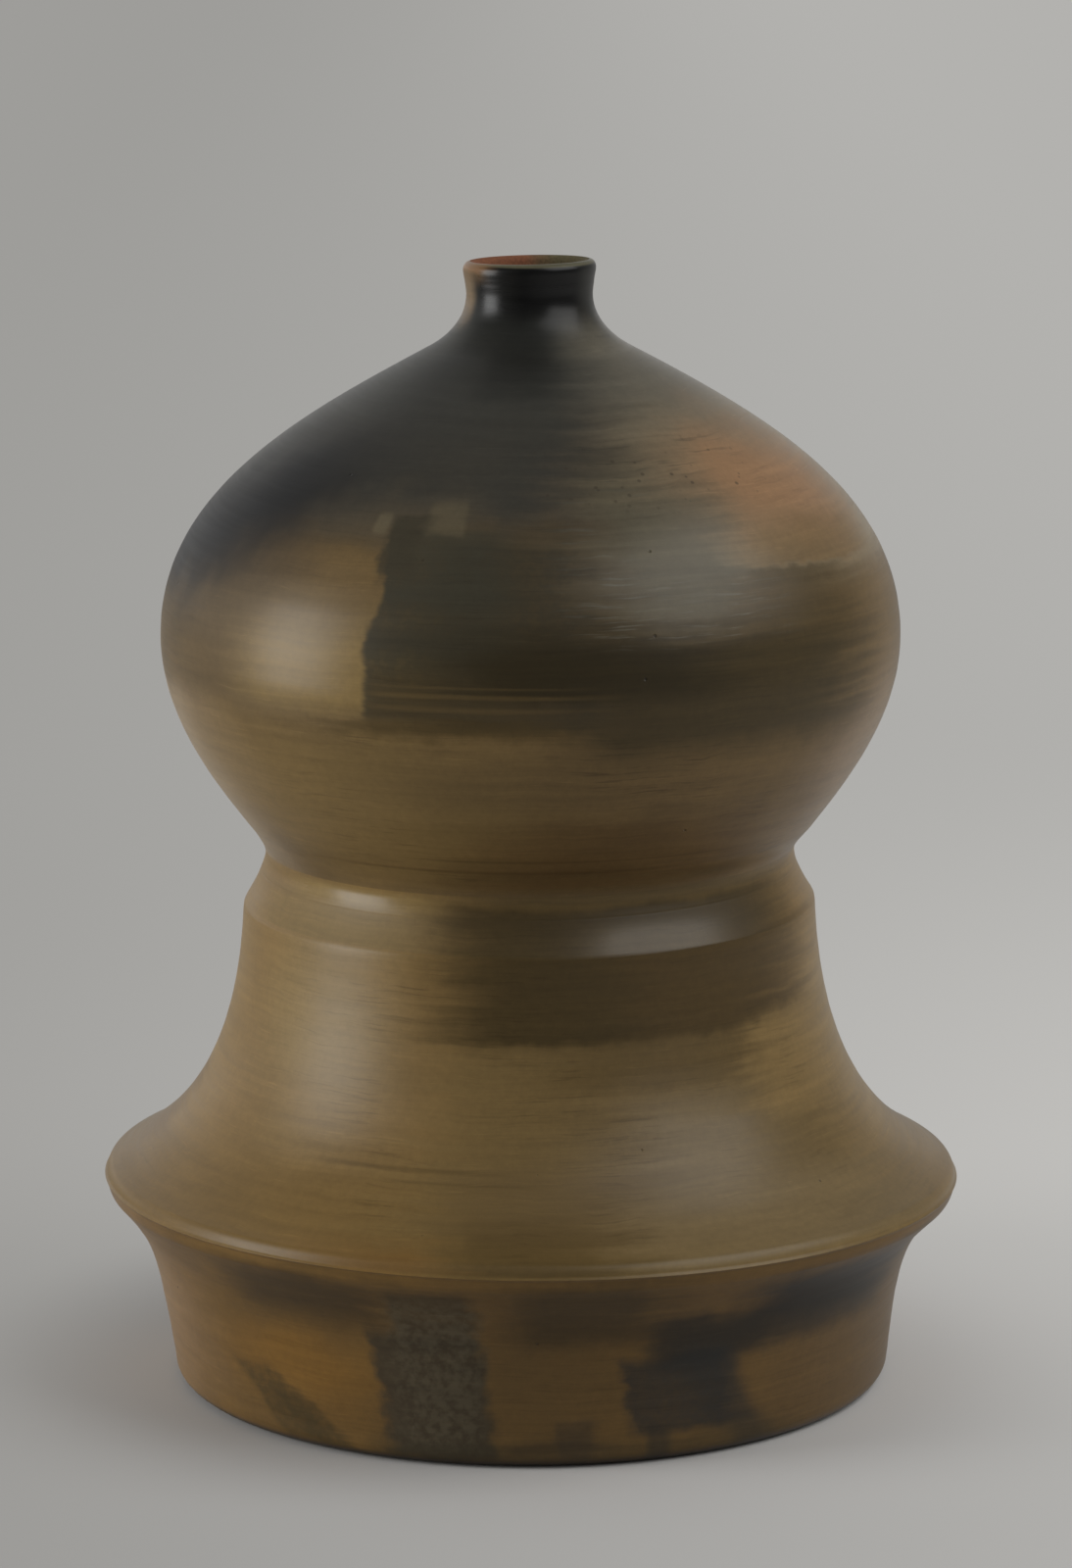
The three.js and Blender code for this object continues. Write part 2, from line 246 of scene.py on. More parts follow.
    # Clay drifts between its two tones every 45 mm
    slow = add(tree, "TexNoise", inputs={"Vector": spot, "Scale": 1 / (45 * MM), "Detail": 3.0})[0]
    tone = add(tree, "MapRange", SMOOTH, {0: slow, 1: 0.35, 2: 0.65})[0]
    colour = add(tree, "Mix", COLOURS, {0: tone, 6: linear(clay), 7: linear(flush)})[2]
    rough = gloss
    for mark in marks:
        if "wide" in mark:
            inside = {
                0: drifted,
                "Location": np.array((mark["turn"], mark["rise"], 0.0)) + swirl / 2,
                "Rotation": (0.0, 0.0, np.radians(mark.get("tilt", 0.0))),
                "Scale": (mark["wide"], mark["tall"], 1.0),
            }
            ellipse = add(tree, "Mapping", {"vector_type": "TEXTURE"}, inside)[0]
            away = add(tree, "VectorMath", {"operation": "LENGTH"}, {0: ellipse})["Value"]
            soft = mark.get("soft", 0.5)
            reach = {0: away, 1: 1.0 + soft, 2: 1.0 - soft, 3: 0.0, 4: mark["strength"]}
            share = add(tree, "MapRange", SMOOTH, reach)[0]
        else:
            fray = np.array((*mark.get("fray", (0.0, 0.0)), 0.0))
            edge_spot, moved = edges[mark.get("edge", "crumbled")]
            torn = add(tree, "VectorMath", TIMES_PLUS, {0: tear, 1: fray, 2: edge_spot})[0]
            along, up, _ = add(tree, "SeparateXYZ", inputs={0: torn})
            aside, lift, _ = (moved + fray) / 2
            left, right, lower, upper = mark["sides"]
            slant = mark.get("slant", 0.0)
            lean = add(tree, "Math", TIMES_PLUS, {0: up, 1: -slant, 2: along})[0]
            aside -= slant * ((lower[0] + upper[0]) / 2 + lift)
            share = mark["strength"]
            sides = ((lean, aside, left), (lean, aside, right), (up, lift, lower), (up, lift, upper))
            for axis, shift, (edge, soft) in sides:
                reach = {0: axis, 1: edge + shift - soft, 2: edge + shift + soft}
                side = add(tree, "MapRange", SMOOTH, reach)[0]
                share = add(tree, "Math", TIMES, {0: side, 1: share})[0]
        if "mottled" in mark:
            specks = {0: mottle, 1: 0.35, 2: 0.6, 3: 1.0 - mark["mottled"], 4: 1.0}
            share = add(tree, "Math", TIMES, {0: share, 1: add(tree, "MapRange", inputs=specks)[0]})[0]
        for option, texture in (("dashed", dash), ("pitted", pit)):
            if option in mark:
                share = add(tree, "Math", TIMES, {0: share, 1: texture})[0]
        colour = add(tree, "Mix", COLOURS, {0: share, 6: colour, 7: linear(mark["colour"])})[2]
        if "gloss" in mark:
            rough = add(tree, "Mix", {"data_type": "FLOAT"}, {0: share, 2: rough, 3: mark["gloss"]})[0]

    # An even grain of strokes, mottling, sand of 0.8 mm and bands shades the clay by the given shares.
    # Dashes and pores darken it, and scratches show pale: their paleness is in part a painted highlight, for
    # the glints of their grooves
    sand = add(tree, "TexNoise", inputs={"Vector": spot, "Scale": 1 / (0.8 * MM), "Detail": 2.0})[0]
    shade = 1.0
    for grain, spread in ((stroke, 0.05), (mottle, 0.05), (sand, 0.03), (tear, 0.08)):
        tinted = {0: grain, 1: 0.3, 2: 0.7, 3: 1.0 - spread, 4: 1.0 + spread}
        shade = add(tree, "Math", TIMES, {0: add(tree, "MapRange", inputs=tinted)[0], 1: shade})[0]
    for scar, change in ((dash, -0.11), (scratch_and_glint, 0.2), (pore, -0.5)):
        shade = add(tree, "Math", TIMES_PLUS, {0: scar, 1: change, 2: shade})[0]
    colour = add(tree, "VectorMath", {"operation": "SCALE"}, {0: colour, "Scale": shade})[0]

    # Strokes scatter the mirror a little, and the relief of each grain is in millimetres
    rough = add(tree, "Math", TIMES_PLUS, {0: stroke, 1: 0.1, 2: rough})[0]
    grains = ((stroke, 0.0015), (mottle, 0.006), (sand, 0.003), (scratch_and_glint, -0.008), (dash, -0.006), (pore, -0.2))
    relief = 0.0
    for grain, height in grains:
        relief = add(tree, "Math", TIMES_PLUS, {0: grain, 1: height, 2: relief})[0]
    skin = add(tree, "Bump", inputs={"Height": relief, "Distance": MM})[0]
    satin = {"Base Color": colour, "Roughness": rough, "Normal": skin}
    satin |= {"IOR": CLAY_IOR, "Specular IOR Level": CLAY_MIRROR}
    shader = add(tree, "BsdfPrincipled", inputs=satin)[0]
    add(tree, "OutputMaterial", inputs={"Surface": shader})
    return material


def raw_clay(name, clay, smoked, side):
    """Terracotta never burnished: matt and sandy, orange where air reached it and brown where smoke did.

    The eye sees a dry, open grain with wiping marks a few millimetres wide, and no highlights. The share of
    smoke drifts every 30 mm, and grows to the right by the given share for each metre.
    """
    material, tree = bare_material(name)
    spot = add(tree, "TexCoord")["Object"]
    slow = add(tree, "TexNoise", inputs={"Vector": spot, "Scale": 1 / (30 * MM), "Detail": 4.0})[0]
    right, _, _ = add(tree, "SeparateXYZ", inputs={0: spot})
    slow = add(tree, "Math", TIMES_PLUS, {0: right, 1: side, 2: slow})[0]
    tone = add(tree, "MapRange", SMOOTH, {0: slow, 1: 0.35, 2: 0.7})[0]
    colour = add(tree, "Mix", COLOURS, {0: tone, 6: linear(clay), 7: linear(smoked)})[2]

    # Wiping marks of 30 by 3 mm, and sand of 0.7 mm
    drawn_out = {0: spot, "Scale": (1 / (30 * MM), 1 / (30 * MM), 1 / (3 * MM))}
    wiped = add(tree, "Mapping", inputs=drawn_out)[0]
    wipe = add(tree, "TexNoise", inputs={"Vector": wiped, "Scale": 1.0, "Detail": 3.0})[0]
    sand = add(tree, "TexNoise", inputs={"Vector": spot, "Scale": 1 / (0.7 * MM), "Detail": 3.0})[0]
    grit = add(tree, "MapRange", inputs={0: sand, 1: 0.3, 2: 0.7, 3: 0.75, 4: 1.2})[0]
    colour = add(tree, "VectorMath", {"operation": "SCALE"}, {0: colour, "Scale": grit})[0]
    rough = add(tree, "MapRange", inputs={0: sand, 3: 0.75, 4: 0.95})[0]
    relief = add(tree, "Math", TIMES_PLUS, {0: wipe, 1: 3.0, 2: sand})[0]
    skin = add(tree, "Bump", inputs={"Height": relief, "Distance": 0.05 * MM})[0]
    dry = {"Base Color": colour, "Roughness": rough, "Normal": skin}
    dry |= {"IOR": CLAY_IOR, "Specular IOR Level": CLAY_MIRROR}
    shader = add(tree, "BsdfPrincipled", inputs=dry)[0]
    add(tree, "OutputMaterial", inputs={"Surface": shader})
    return material


terracotta = raw_clay("raw_terracotta", clay="#8a5634", smoked="#5d422b", side=0.0)
foot_marks = (
    # Drifts of the clay
    dict(turn=66, rise=20, wide=34, tall=40, soft=0.6, strength=0.75, colour="#604b2d"),
    dict(turn=2, rise=26, wide=16, tall=20, soft=0.6, strength=0.65, colour="#584527"),
    dict(turn=-38, rise=27, wide=14, tall=12, soft=0.7, strength=0.7, colour="#7b5925"),
    dict(turn=-84, rise=34, wide=22, tall=40, soft=0.7, strength=0.75, colour="#8e7252"),
    # Smoke under the flange, and the speckled patch left of the middle
    dict(sides=((-47, 7), (-21, -5), (44, 8), (62, -5)), fray=(10, 5), strength=0.8, colour="#3b301f"),
    dict(sides=((-22.8, 1.2), (-6.4, -1.4), (3, 2), (46, -5)), slant=-0.06, fray=(1.5, 2), strength=0.88,
         colour="#3a3326", gloss=0.6),
    dict(sides=((-20, 1.6), (-8.2, -1.4), (42, 4), (60, -3)), slant=-0.06, fray=(1.5, 2), strength=0.75,
         colour="#40382a", gloss=0.6),
    dict(sides=((-20.5, 2), (-7.5, -2), (6, 5), (56, -5)), strength=0.28, colour="#665f4b", mottled=1.0),
    # Dark bands under the flange on the right, and the block under them
    dict(sides=((-3, 5), (19, -6), (41, 5), (64, -5)), fray=(8, 4), strength=0.75, colour="#3a2f1c"),
    dict(sides=((33, 7), (66, -11), (41, 6), (59, -5)), fray=(10, 4), strength=0.92, colour="#1a1918"),
    dict(sides=((36, 6), (64, -8), (34, 4), (48, -4)), strength=0.7, colour="#2a2721"),
    dict(sides=((17, 4), (38, -4), (32, 3), (48, -4)), fray=(8, 4), strength=0.75, colour="#26231d"),
    dict(turn=27, rise=37, wide=8, tall=9, soft=0.6, strength=0.6, colour="#26241f"),
    dict(sides=((14, 1.2), (32, -3), (10.5, 2), (35, -2.5)), slant=-0.1, fray=(2, 2), strength=0.8,
         colour="#2a2a28", gloss=0.46, mottled=0.12),
    dict(sides=((24, 5), (33.6, -2), (9, 3), (37, -5)), slant=-0.24, strength=0.65, colour="#2a2a28",
         gloss=0.46, mottled=0.12, edge="wavy"),
    # Patch on the left
    dict(sides=((-47, 1.6), (-37, -1.5), (2, 3), (25, -3)), slant=-0.5, fray=(2, 2), strength=0.8,
         colour="#463920", mottled=0.4),
    dict(sides=((-40, 2), (-32, -1.5), (2, 3), (18, -3)), slant=-0.6, fray=(2, 2), strength=0.8,
         colour="#463920", mottled=0.4),
    # Veil along the bottom, with legs, a blot and a streak
    dict(sides=((-24, 5), (46, -12), (-10, 1), (9, -4)), fray=(6, 3), strength=0.55, colour="#3b3423"),
    dict(sides=((17.6, 1), (21.6, -1.2), (-10, 1), (13, -2)), strength=0.6, colour="#2d2b25", edge="wavy"),
    dict(sides=((34.5, 2), (41, -3), (-10, 1), (13, -3)), slant=-0.3, strength=0.5, colour="#312e27",
         edge="wavy"),
    dict(sides=((3.8, 0.9), (9.6, -1.2), (2, 2), (16, -2.5)), fray=(1.5, 2), strength=0.55,
         colour="#3f3527"),
    dict(sides=((-4, 2), (13, -4), (5.4, 0.8), (8.2, -0.8)), fray=(4, 1), strength=0.45, colour="#3a2f1f",
         edge="wavy"),
    # Painted shade: darker along the lower edge, where the vase meets the ground
    dict(sides=((-200, 1), (200, -1), (-10, 1), (2.5, -1.5)), strength=0.85, colour="#1d160e",
         edge="crisp"),
    # Sides and back
    dict(turn=122, rise=46, wide=24, tall=13, strength=0.9, colour="#1f1b18"),
    dict(sides=((88, 3), (106, -4), (8, 4), (40, -6)), slant=0.1, fray=(6, 4), strength=0.8,
         colour="#3f3524", gloss=0.6, mottled=0.3, edge="wavy"),
    dict(sides=((146, 8), (168, -8), (18, 7), (58, -9)), fray=(18, 7), strength=0.85, colour="#2a251c"),
    dict(turn=-140, rise=50, wide=22, tall=12, strength=0.85, colour="#241f1a"),
    dict(sides=((-128, 4), (-112, -5), (6, 4), (36, -6)), slant=-0.15, fray=(7, 5), strength=0.85,
         colour="#352d20", gloss=0.5),
    dict(sides=((-96, 8), (-76, -8), (42, 6), (75, -4)), strength=0.4, colour="#4c3c20"),
)
foot_finish = smoke_fired("burnished_foot", clay="#664e2a", flush="#71562c", gloss=0.33, marks=foot_marks)
base_edge = arc((BASE_FLAT, BASE_EDGE[1]), *BASE_EDGE, -np.pi / 2, 0.0, steps=16)
underside = [(0.0, 0.0), UNDERSIDE_RING]
floor_outline = np.vstack([underside, base_edge, FLOOR_RIM, FLOOR_RING, (0.0, FLOOR_TOP)])
burnished_edge = (len(underside), len(underside) + len(base_edge))
floor_disc = turned("floor_disc_fired", floor_outline, burnished_edge)
fitted(floor_disc, "floor_disc", "burnished_foot", foot_finish, terracotta)


# Foot: a drum of terracotta, thrown with a wall that flares and turns out to a rim under the flange.
# It was stood on the floor leather-hard and luted with slip, then burnished outside and left raw inside.

FLANGE_SEAM = (137.3, 66.0)
FLANGE_INSIDE = (127.3, 66.0)
UNDER_FLANGE = (135.3, 61.0)
FOOT_INSIDE = (108.69, FLOOR_TOP)
FOOT_LEANS = (0.13, 1.07)
FOOT_PULLS = (34, 17)
RIM_LEAN = 0.25  # of the flange's rolled edge, out below the seam and in above it
RIM_PULLS = (1.8, 1.8)
RIDGE_HEIGHT = 0.45  # fine ridge along the seam of the flange
RIDGE_HALF_WIDTH = 0.5
RIDGE_FADE = 9.0
RINGS_CLEAR = 8.0  # bare width at the ends of a wall's inside, where the coils go
RINGS_START = 6.0  # width over which the finger rings then reach their depth
RINGS_PITCH = 6.5
RINGS_DEPTH = 0.35


def sweep(low, high, leans, pulls, steps):
    """Cubic curve up a wall between two points. It leaves the low end along its lean, for the length of its
    pull, and comes to the high end in the same way. A lean is the run outwards for a unit of rise."""
    low, high = np.array(low, float), np.array(high, float)
    leave = low + pulls[0] * np.array([leans[0], 1.0]) / np.hypot(leans[0], 1.0)
    arrive = high - pulls[1] * np.array([leans[1], 1.0]) / np.hypot(leans[1], 1.0)
    t = np.linspace(0.0, 1.0, steps + 1)[:, None]
    from_low = (1 - t) ** 3 * low + 3 * t * (1 - t) ** 2 * leave
    to_high = 3 * t**2 * (1 - t) * arrive + t**3 * high
    return from_low + to_high


def moved_out(points, distance):
    """Outline with each radius moved out by a distance of its own."""
    return points + np.stack([distance, np.zeros_like(distance)], axis=-1)


def bell_curve(points, level, half_width):
    """Value for each point of an outline: the exponential of minus the square of its rise from a level,
    counted in half widths, so one at the level."""
    return np.exp(-(((points[:, 1] - level) / half_width) ** 2))


def ridged(points):
    """The ridge on the flange: points draw in by its height, but for a bell curve about the seam, and the
    drawing in fades out with the distance from it."""
    fade = np.clip(1.0 - np.abs(points[:, 1] - FLANGE_SEAM[1]) / RIDGE_FADE, 0.0, 1.0)
    ridge = bell_curve(points, FLANGE_SEAM[1], RIDGE_HALF_WIDTH)
    return moved_out(points, -RIDGE_HEIGHT * (1.0 - ridge) * fade)


def finger_rings(points):
    """Grooves that the fingers leave inside a wall: a squared sine wave of the height, cut into the wall,
    that starts clear of the ends."""
    height = points[:, 1]
    from_end = np.minimum(height - height[0], height[-1] - height)
    started = np.clip((from_end - RINGS_CLEAR) / RINGS_START, 0.0, 1.0)
    return moved_out(points, RINGS_DEPTH * started * np.sin(np.pi * height / RINGS_PITCH) ** 2)


def thrown_section(name, node, outside, inside, finish, slot):
    """Ring of a thrown wall between its outside and its inside, both listed upwards."""
    piece = turned(name, np.vstack([outside, finger_rings(inside)[::-1]]), (0, len(outside) - 1))
    fitted(piece, node, slot, finish, terracotta)


foot_wall = sweep(FLOOR_RIM, UNDER_FLANGE, FOOT_LEANS, FOOT_PULLS, steps=70)
flange_below = sweep(UNDER_FLANGE, FLANGE_SEAM, (FOOT_LEANS[1], RIM_LEAN), RIM_PULLS, steps=30)
foot_outside = ridged(np.vstack([foot_wall, flange_below[1:]]))
foot_inside = sweep(FOOT_INSIDE, FLANGE_INSIDE, FOOT_LEANS, FOOT_PULLS, steps=50)
thrown_section("foot_drum_fired", "foot_drum", foot_outside, foot_inside, foot_finish, "burnished_foot")


# Luting coils: rolls of soft terracotta, pressed into the inside of each join as it was made and left matt.
# Slip bonds them to the walls, as a film that is left as a gap. This one fills the corner of floor and drum.

SLIP_GAP = 0.3
FLOOR_COIL = 8.0  # legs of the coil on the floor and on the drum


def luting_coil(name, node, outline):
    """Roll of clay pressed into a join: its cross section, up the back and down the face, carried round."""
    piece = turned(name, outline, (0, len(outline)))
    fitted(piece, node, "raw_clay", terracotta)


corner = (FOOT_INSIDE[0] - SLIP_GAP, FLOOR_TOP + SLIP_GAP)
toe = (corner[0] - FLOOR_COIL, corner[1])
coil_height = corner[1] + np.linspace(0.0, FLOOR_COIL, 13)
coil_radius = np.interp(coil_height, foot_inside[:, 1], foot_inside[:, 0]) - SLIP_GAP
coil_back = np.stack([coil_radius, coil_height], axis=-1)
hollow = (toe[0], corner[1] + FLOOR_COIL)
coil_face = arc(hollow, FLOOR_COIL, FLOOR_COIL - SLIP_GAP, 0.0, -np.pi / 2, steps=24)
luting_coil("floor_coil_fired", "floor_coil", np.vstack([coil_back, coil_face, toe]))


# Skirt: a bell of terracotta, thrown upside down and rolled over at the flange.
# It was turned over on to the drum, luted rim to rim and burnished outside. A coil backs the join.

COLLAR_SEAM = (91.4, 155.3)
COLLAR_INSIDE = (84.4, 155.3)
OVER_FLANGE = (134.7, 70.4)
BELL_LEANS = (-2.09, -0.04)
BELL_PULLS = (32, 42)
ARRIS_TURN = -0.61  # change of lean where the collar leaves the bell
ARRIS_WEAR = 0.4  # width over which the arris is worn
COIL_HALF_WIDTH = 7.0
COIL_DEPTH = 4.0

skirt_marks = (
    # Drifts of the clay; the light one on the left of the bell is in part a painted highlight
    dict(sides=((-200, 1), (200, -1), (50, 1), (90, -16)), strength=0.75, colour="#6f5830"),
    # Lighter clay on the left of the bell, in part a painted highlight where the left lamp's reflection runs
    # down it
    dict(turn=-44, rise=132, wide=16, tall=28, soft=0.7, strength=0.6, colour="#907b52"),
    dict(turn=-88, rise=125, wide=20, tall=40, soft=0.7, strength=0.6, colour="#8e7449"),
    dict(turn=84, rise=110, wide=18, tall=34, soft=0.7, strength=0.6, colour="#8c7650"),
    dict(sides=((-18, 14), (70, -18), (60, 1), (132, -8)), fray=(24, 6), strength=0.8, colour="#685634"),
    # Dark band under the collar, and what frays from it, with a strip of painted light at the waist
    dict(sides=((-17, 14), (64, -19), (127.5, 3), (200, -1)), fray=(24, 6), strength=0.92,
         colour="#3e3219"),
    dict(sides=((18, 10), (64, -10), (128, 4), (158, -3)), fray=(20, 6), strength=0.35, colour="#544020"),
    dict(sides=((-20, 11), (60, -13), (162, 3), (169.5, -1.5)), fray=(10, 4), strength=0.55,
         colour="#40331a"),
    # Tan at the top of the collar, lightened in part as painted light where the waist catches light
    dict(sides=((-20, 11), (60, -13), (169, 1.5), (200, -1)), strength=0.45, colour="#6a5632"),
    dict(sides=((8, 10), (50, -9), (114, 2), (127, -3)), fray=(26, 10), strength=0.5, colour="#503f20"),
    dict(sides=((46, 6), (82, -10), (102, 4), (130, -3)), fray=(18, 8), strength=0.7, colour="#846c42"),
    # Speckled, polished and flushed places low on the bell, and the stone's strokes
    dict(sides=((-12, 6), (26, -8), (74, 4), (94, -3)), fray=(24, 9), strength=0.6, colour="#5f4d30",
         mottled=0.5),
    # Polished place low on the right: real gloss, and a lighter colour that is in part a painted highlight
    # of the right lamp
    dict(sides=((20, 7), (40, -7), (84, 6), (108, -6)), fray=(14, 5), strength=0.5, colour="#7b6a4c",
         gloss=0.26),
    dict(sides=((14, 6), (68, -12), (66, 2), (85, -5)), fray=(14, 5), strength=0.65, colour="#7d6a48"),
    dict(sides=((-30, 10), (-12, -6), (60, 1), (73, -4)), fray=(14, 5), strength=0.45, colour="#785528"),
    dict(sides=((-11, 4), (11, -8), (60, 1), (79, -4)), fray=(12, 4), strength=0.5, colour="#4c3c20"),
    dict(sides=((-36, 8), (-4, -9), (91.4, 0.5), (92.6, -0.5)), strength=0.4, colour="#4a3b20",
         edge="crisp"),
    dict(sides=((-24, 6), (2, -8), (88.4, 0.4), (89.2, -0.4)), strength=0.3, colour="#4a3b20",
         edge="crisp"),
    dict(sides=((-40, 14), (60, -16), (76, 6), (152, -6)), strength=0.2, colour="#443419", dashed=True),
    # Rubbed rim of the flange
    dict(sides=((-200, 1), (200, -1), (50, 1), (67.5, -0.8)), strength=0.3, colour="#7d6538", gloss=0.2,
         edge="crisp"),
    # Polished places of the collar and of the bell under it; the last two are lightened in part as painted
    # highlights
    dict(sides=((-48, 10), (-25, -11), (150, 4), (190, -1)), fray=(10, 4), strength=0.5, colour="#876f42",
         gloss=0.24),
    dict(sides=((-70, 9), (-20, -9), (155.6, 0.3), (166, -3)), strength=0.55, colour="#7d6a44", gloss=0.56,
         edge="crisp"),
    dict(sides=((-18, 16), (60, -12), (155.6, 0.3), (168, -3)), strength=0.5, colour="#43371f", gloss=0.5,
         edge="crisp"),
    # Crescent above the arris: real gloss, and a paler colour that is in part a painted highlight of the
    # right lamp
    dict(sides=((12, 7), (40, -9), (155.6, 0.3), (163, -3)), strength=0.8, colour="#5c4f38", gloss=0.1,
         edge="crisp"),
    # Upper strip of the collar on the left: real gloss, and a lighter colour that is in part a painted
    # highlight of the left lamp
    dict(sides=((-60, 9), (-22, -9), (166, 2), (171.5, -1.5)), strength=0.6, colour="#8a7549", gloss=0.12,
         edge="crisp"),
    # Sides and back
    dict(sides=((97, 14), (146, -18), (104, 8), (150, -10)), fray=(20, 9), strength=0.85, colour="#3b2f18"),
    dict(turn=-130, rise=120, wide=30, tall=26, strength=0.85, colour="#42351b"),
    dict(sides=((-162, 7), (-136, -7), (72, 3), (100, -6)), fray=(14, 6), strength=0.7, colour="#5a482a"),
    dict(turn=125, rise=84, wide=26, tall=10, strength=0.7, colour="#4d3d22"),
    dict(sides=((-108, 5), (-84, -5), (76, 3), (104, -3)), fray=(14, 6), strength=0.5, colour="#6a5230"),
)
skirt_finish = smoke_fired("burnished_skirt", clay="#83693e", flush="#7a623a", gloss=0.33, marks=skirt_marks)


def softened(points, level, turn, width):
    """Corner of an outline at a level, rounded over about a width on both sides of it.

    The radius gains the turn of the lean, times the width, times the logarithm of one plus the falling
    exponential of the distance in widths.
    """
    away = np.abs(points[:, 1] - level)
    return moved_out(points, turn * width * np.log1p(np.exp(-away / width)))


def across_join(below, above):
    """Cross section of a coil behind a join: its back keeps the slip gap from the two walls.

    Its face swells in by a half ellipse from the back, or from the straight line between the back's ends
    where that is further in.
    """
    wall = np.vstack([below, above[1:]])
    rise = np.linspace(-1.0, 1.0, 29)
    height = above[0][1] + COIL_HALF_WIDTH * rise
    back = np.interp(height, wall[:, 1], wall[:, 0]) - SLIP_GAP
    straight = back[0] + (back[-1] - back[0]) * (rise + 1.0) / 2.0
    face = np.minimum(back, straight) - COIL_DEPTH * np.sqrt(1.0 - rise**2)
    return np.vstack([np.stack([back, height], axis=-1), np.stack([face, height], axis=-1)[-2:0:-1]])


flange_above = sweep(FLANGE_SEAM, OVER_FLANGE, (-RIM_LEAN, BELL_LEANS[0]), RIM_PULLS, steps=30)
bell_wall = sweep(OVER_FLANGE, COLLAR_SEAM, BELL_LEANS, BELL_PULLS, steps=90)
bell_outside = ridged(np.vstack([flange_above, bell_wall[1:]]))
bell_outside = softened(bell_outside, COLLAR_SEAM[1], ARRIS_TURN, ARRIS_WEAR)
bell_inside = sweep(FLANGE_INSIDE, COLLAR_INSIDE, BELL_LEANS, BELL_PULLS, steps=60)
thrown_section("skirt_bell_fired", "skirt_bell", bell_outside, bell_inside, skirt_finish, "burnished_skirt")
luting_coil("flange_coil_fired", "flange_coil", across_join(foot_inside, bell_inside))


# Waist collar: a thrown ring of terracotta, coved from a crisp arris up to the waist, with a scored line.
# It was luted on the bell's rim, backed with a coil and burnished with the skirt.

WAIST_SEAM = (84.2, 173.7)
WAIST_INSIDE = (76.7, 173.7)
COLLAR_LEANS = (-0.65, 0.0)
COLLAR_PULLS = (6.2, 6.5)
WAIST_TURN = 0.72  # change of lean where the bulb leaves the collar
WAIST_ROUND = 1.8
WAIST_NIP = 0.25  # how far the waist draws in again, so that its rounding leaves it as narrow
NIP_HALF_WIDTH = 5.0
SCRIBED_LINE = 166.5  # level of the line that a rib scored round the collar
LINE_DEPTH = 0.06
LINE_HALF_WIDTH = 0.3


def rounded_waist(points):
    """Outline with the corner at the waist softened, and drawn in again by a bell curve."""
    points = softened(points, WAIST_SEAM[1], WAIST_TURN, WAIST_ROUND)
    return moved_out(points, -WAIST_NIP * bell_curve(points, WAIST_SEAM[1], NIP_HALF_WIDTH))


collar_outside = sweep(COLLAR_SEAM, WAIST_SEAM, COLLAR_LEANS, COLLAR_PULLS, steps=96)
collar_outside = rounded_waist(softened(collar_outside, COLLAR_SEAM[1], ARRIS_TURN, ARRIS_WEAR))
scored = LINE_DEPTH * bell_curve(collar_outside, SCRIBED_LINE, LINE_HALF_WIDTH)
collar_outside = moved_out(collar_outside, -scored)
collar_inside = sweep(COLLAR_INSIDE, WAIST_INSIDE, COLLAR_LEANS, COLLAR_PULLS, steps=24)
collar_walls = (collar_outside, collar_inside)
thrown_section("waist_collar_fired", "waist_collar", *collar_walls, skirt_finish, "burnished_skirt")
luting_coil("collar_coil_fired", "collar_coil", across_join(bell_inside, collar_inside))


# Bulb: two bowls of terracotta, thrown apart and luted rim to rim at the belly, with a coil behind the join.
# The lower one stands on the collar over a coil of its own. The upper one was closed in to the shoulder.
# Both were burnished to a satin skin, which took the most smoke.

BELLY_SEAM = (117.4, 241.1)
BELLY_INSIDE = (111.9, 241.1)
NECK_SEAM = (32.7, 331.8)
NECK_INSIDE = (23.2, 331.8)
LOWER_LEANS = (0.72, 0.0)
LOWER_PULLS = (18, 29)
UPPER_LEANS = (0.0, -1.86)
UPPER_PULLS = (43, 51)
BULB_CLAY = "#6d5836"
BULB_FLUSH = "#624f31"

# The neck takes these marks too, so that the smoke runs on across its join
shoulder_marks = (
    # Blush on the right
    dict(sides=((14, 16), (130, -20), (270, 7), (400, -1)), fray=(18, 7), strength=0.9, colour="#807259"),
    dict(turn=58, rise=297, wide=24, tall=16, soft=0.7, strength=0.8, colour="#98724f"),
    # Grey shoulder, and the soot round the neck
    dict(sides=((-200, 1), (200, -1), (316, 11), (400, -1)), fray=(0, 6), strength=0.88, colour="#5e5a4e"),
    dict(sides=((-112, 12), (32, -22), (286, 9), (400, -1)), slant=0.3, fray=(24, 8), strength=0.93,
         colour="#33332e", gloss=0.4),
    dict(sides=((-56, 16), (12, -12), (326, 8), (400, -1)), strength=0.7, colour="#191916", gloss=0.3),
    dict(sides=((-21, 6), (11, -11), (322, 1.5), (400, -1)), fray=(6, 3), strength=0.35, colour="#191916",
         edge="wavy"),
)
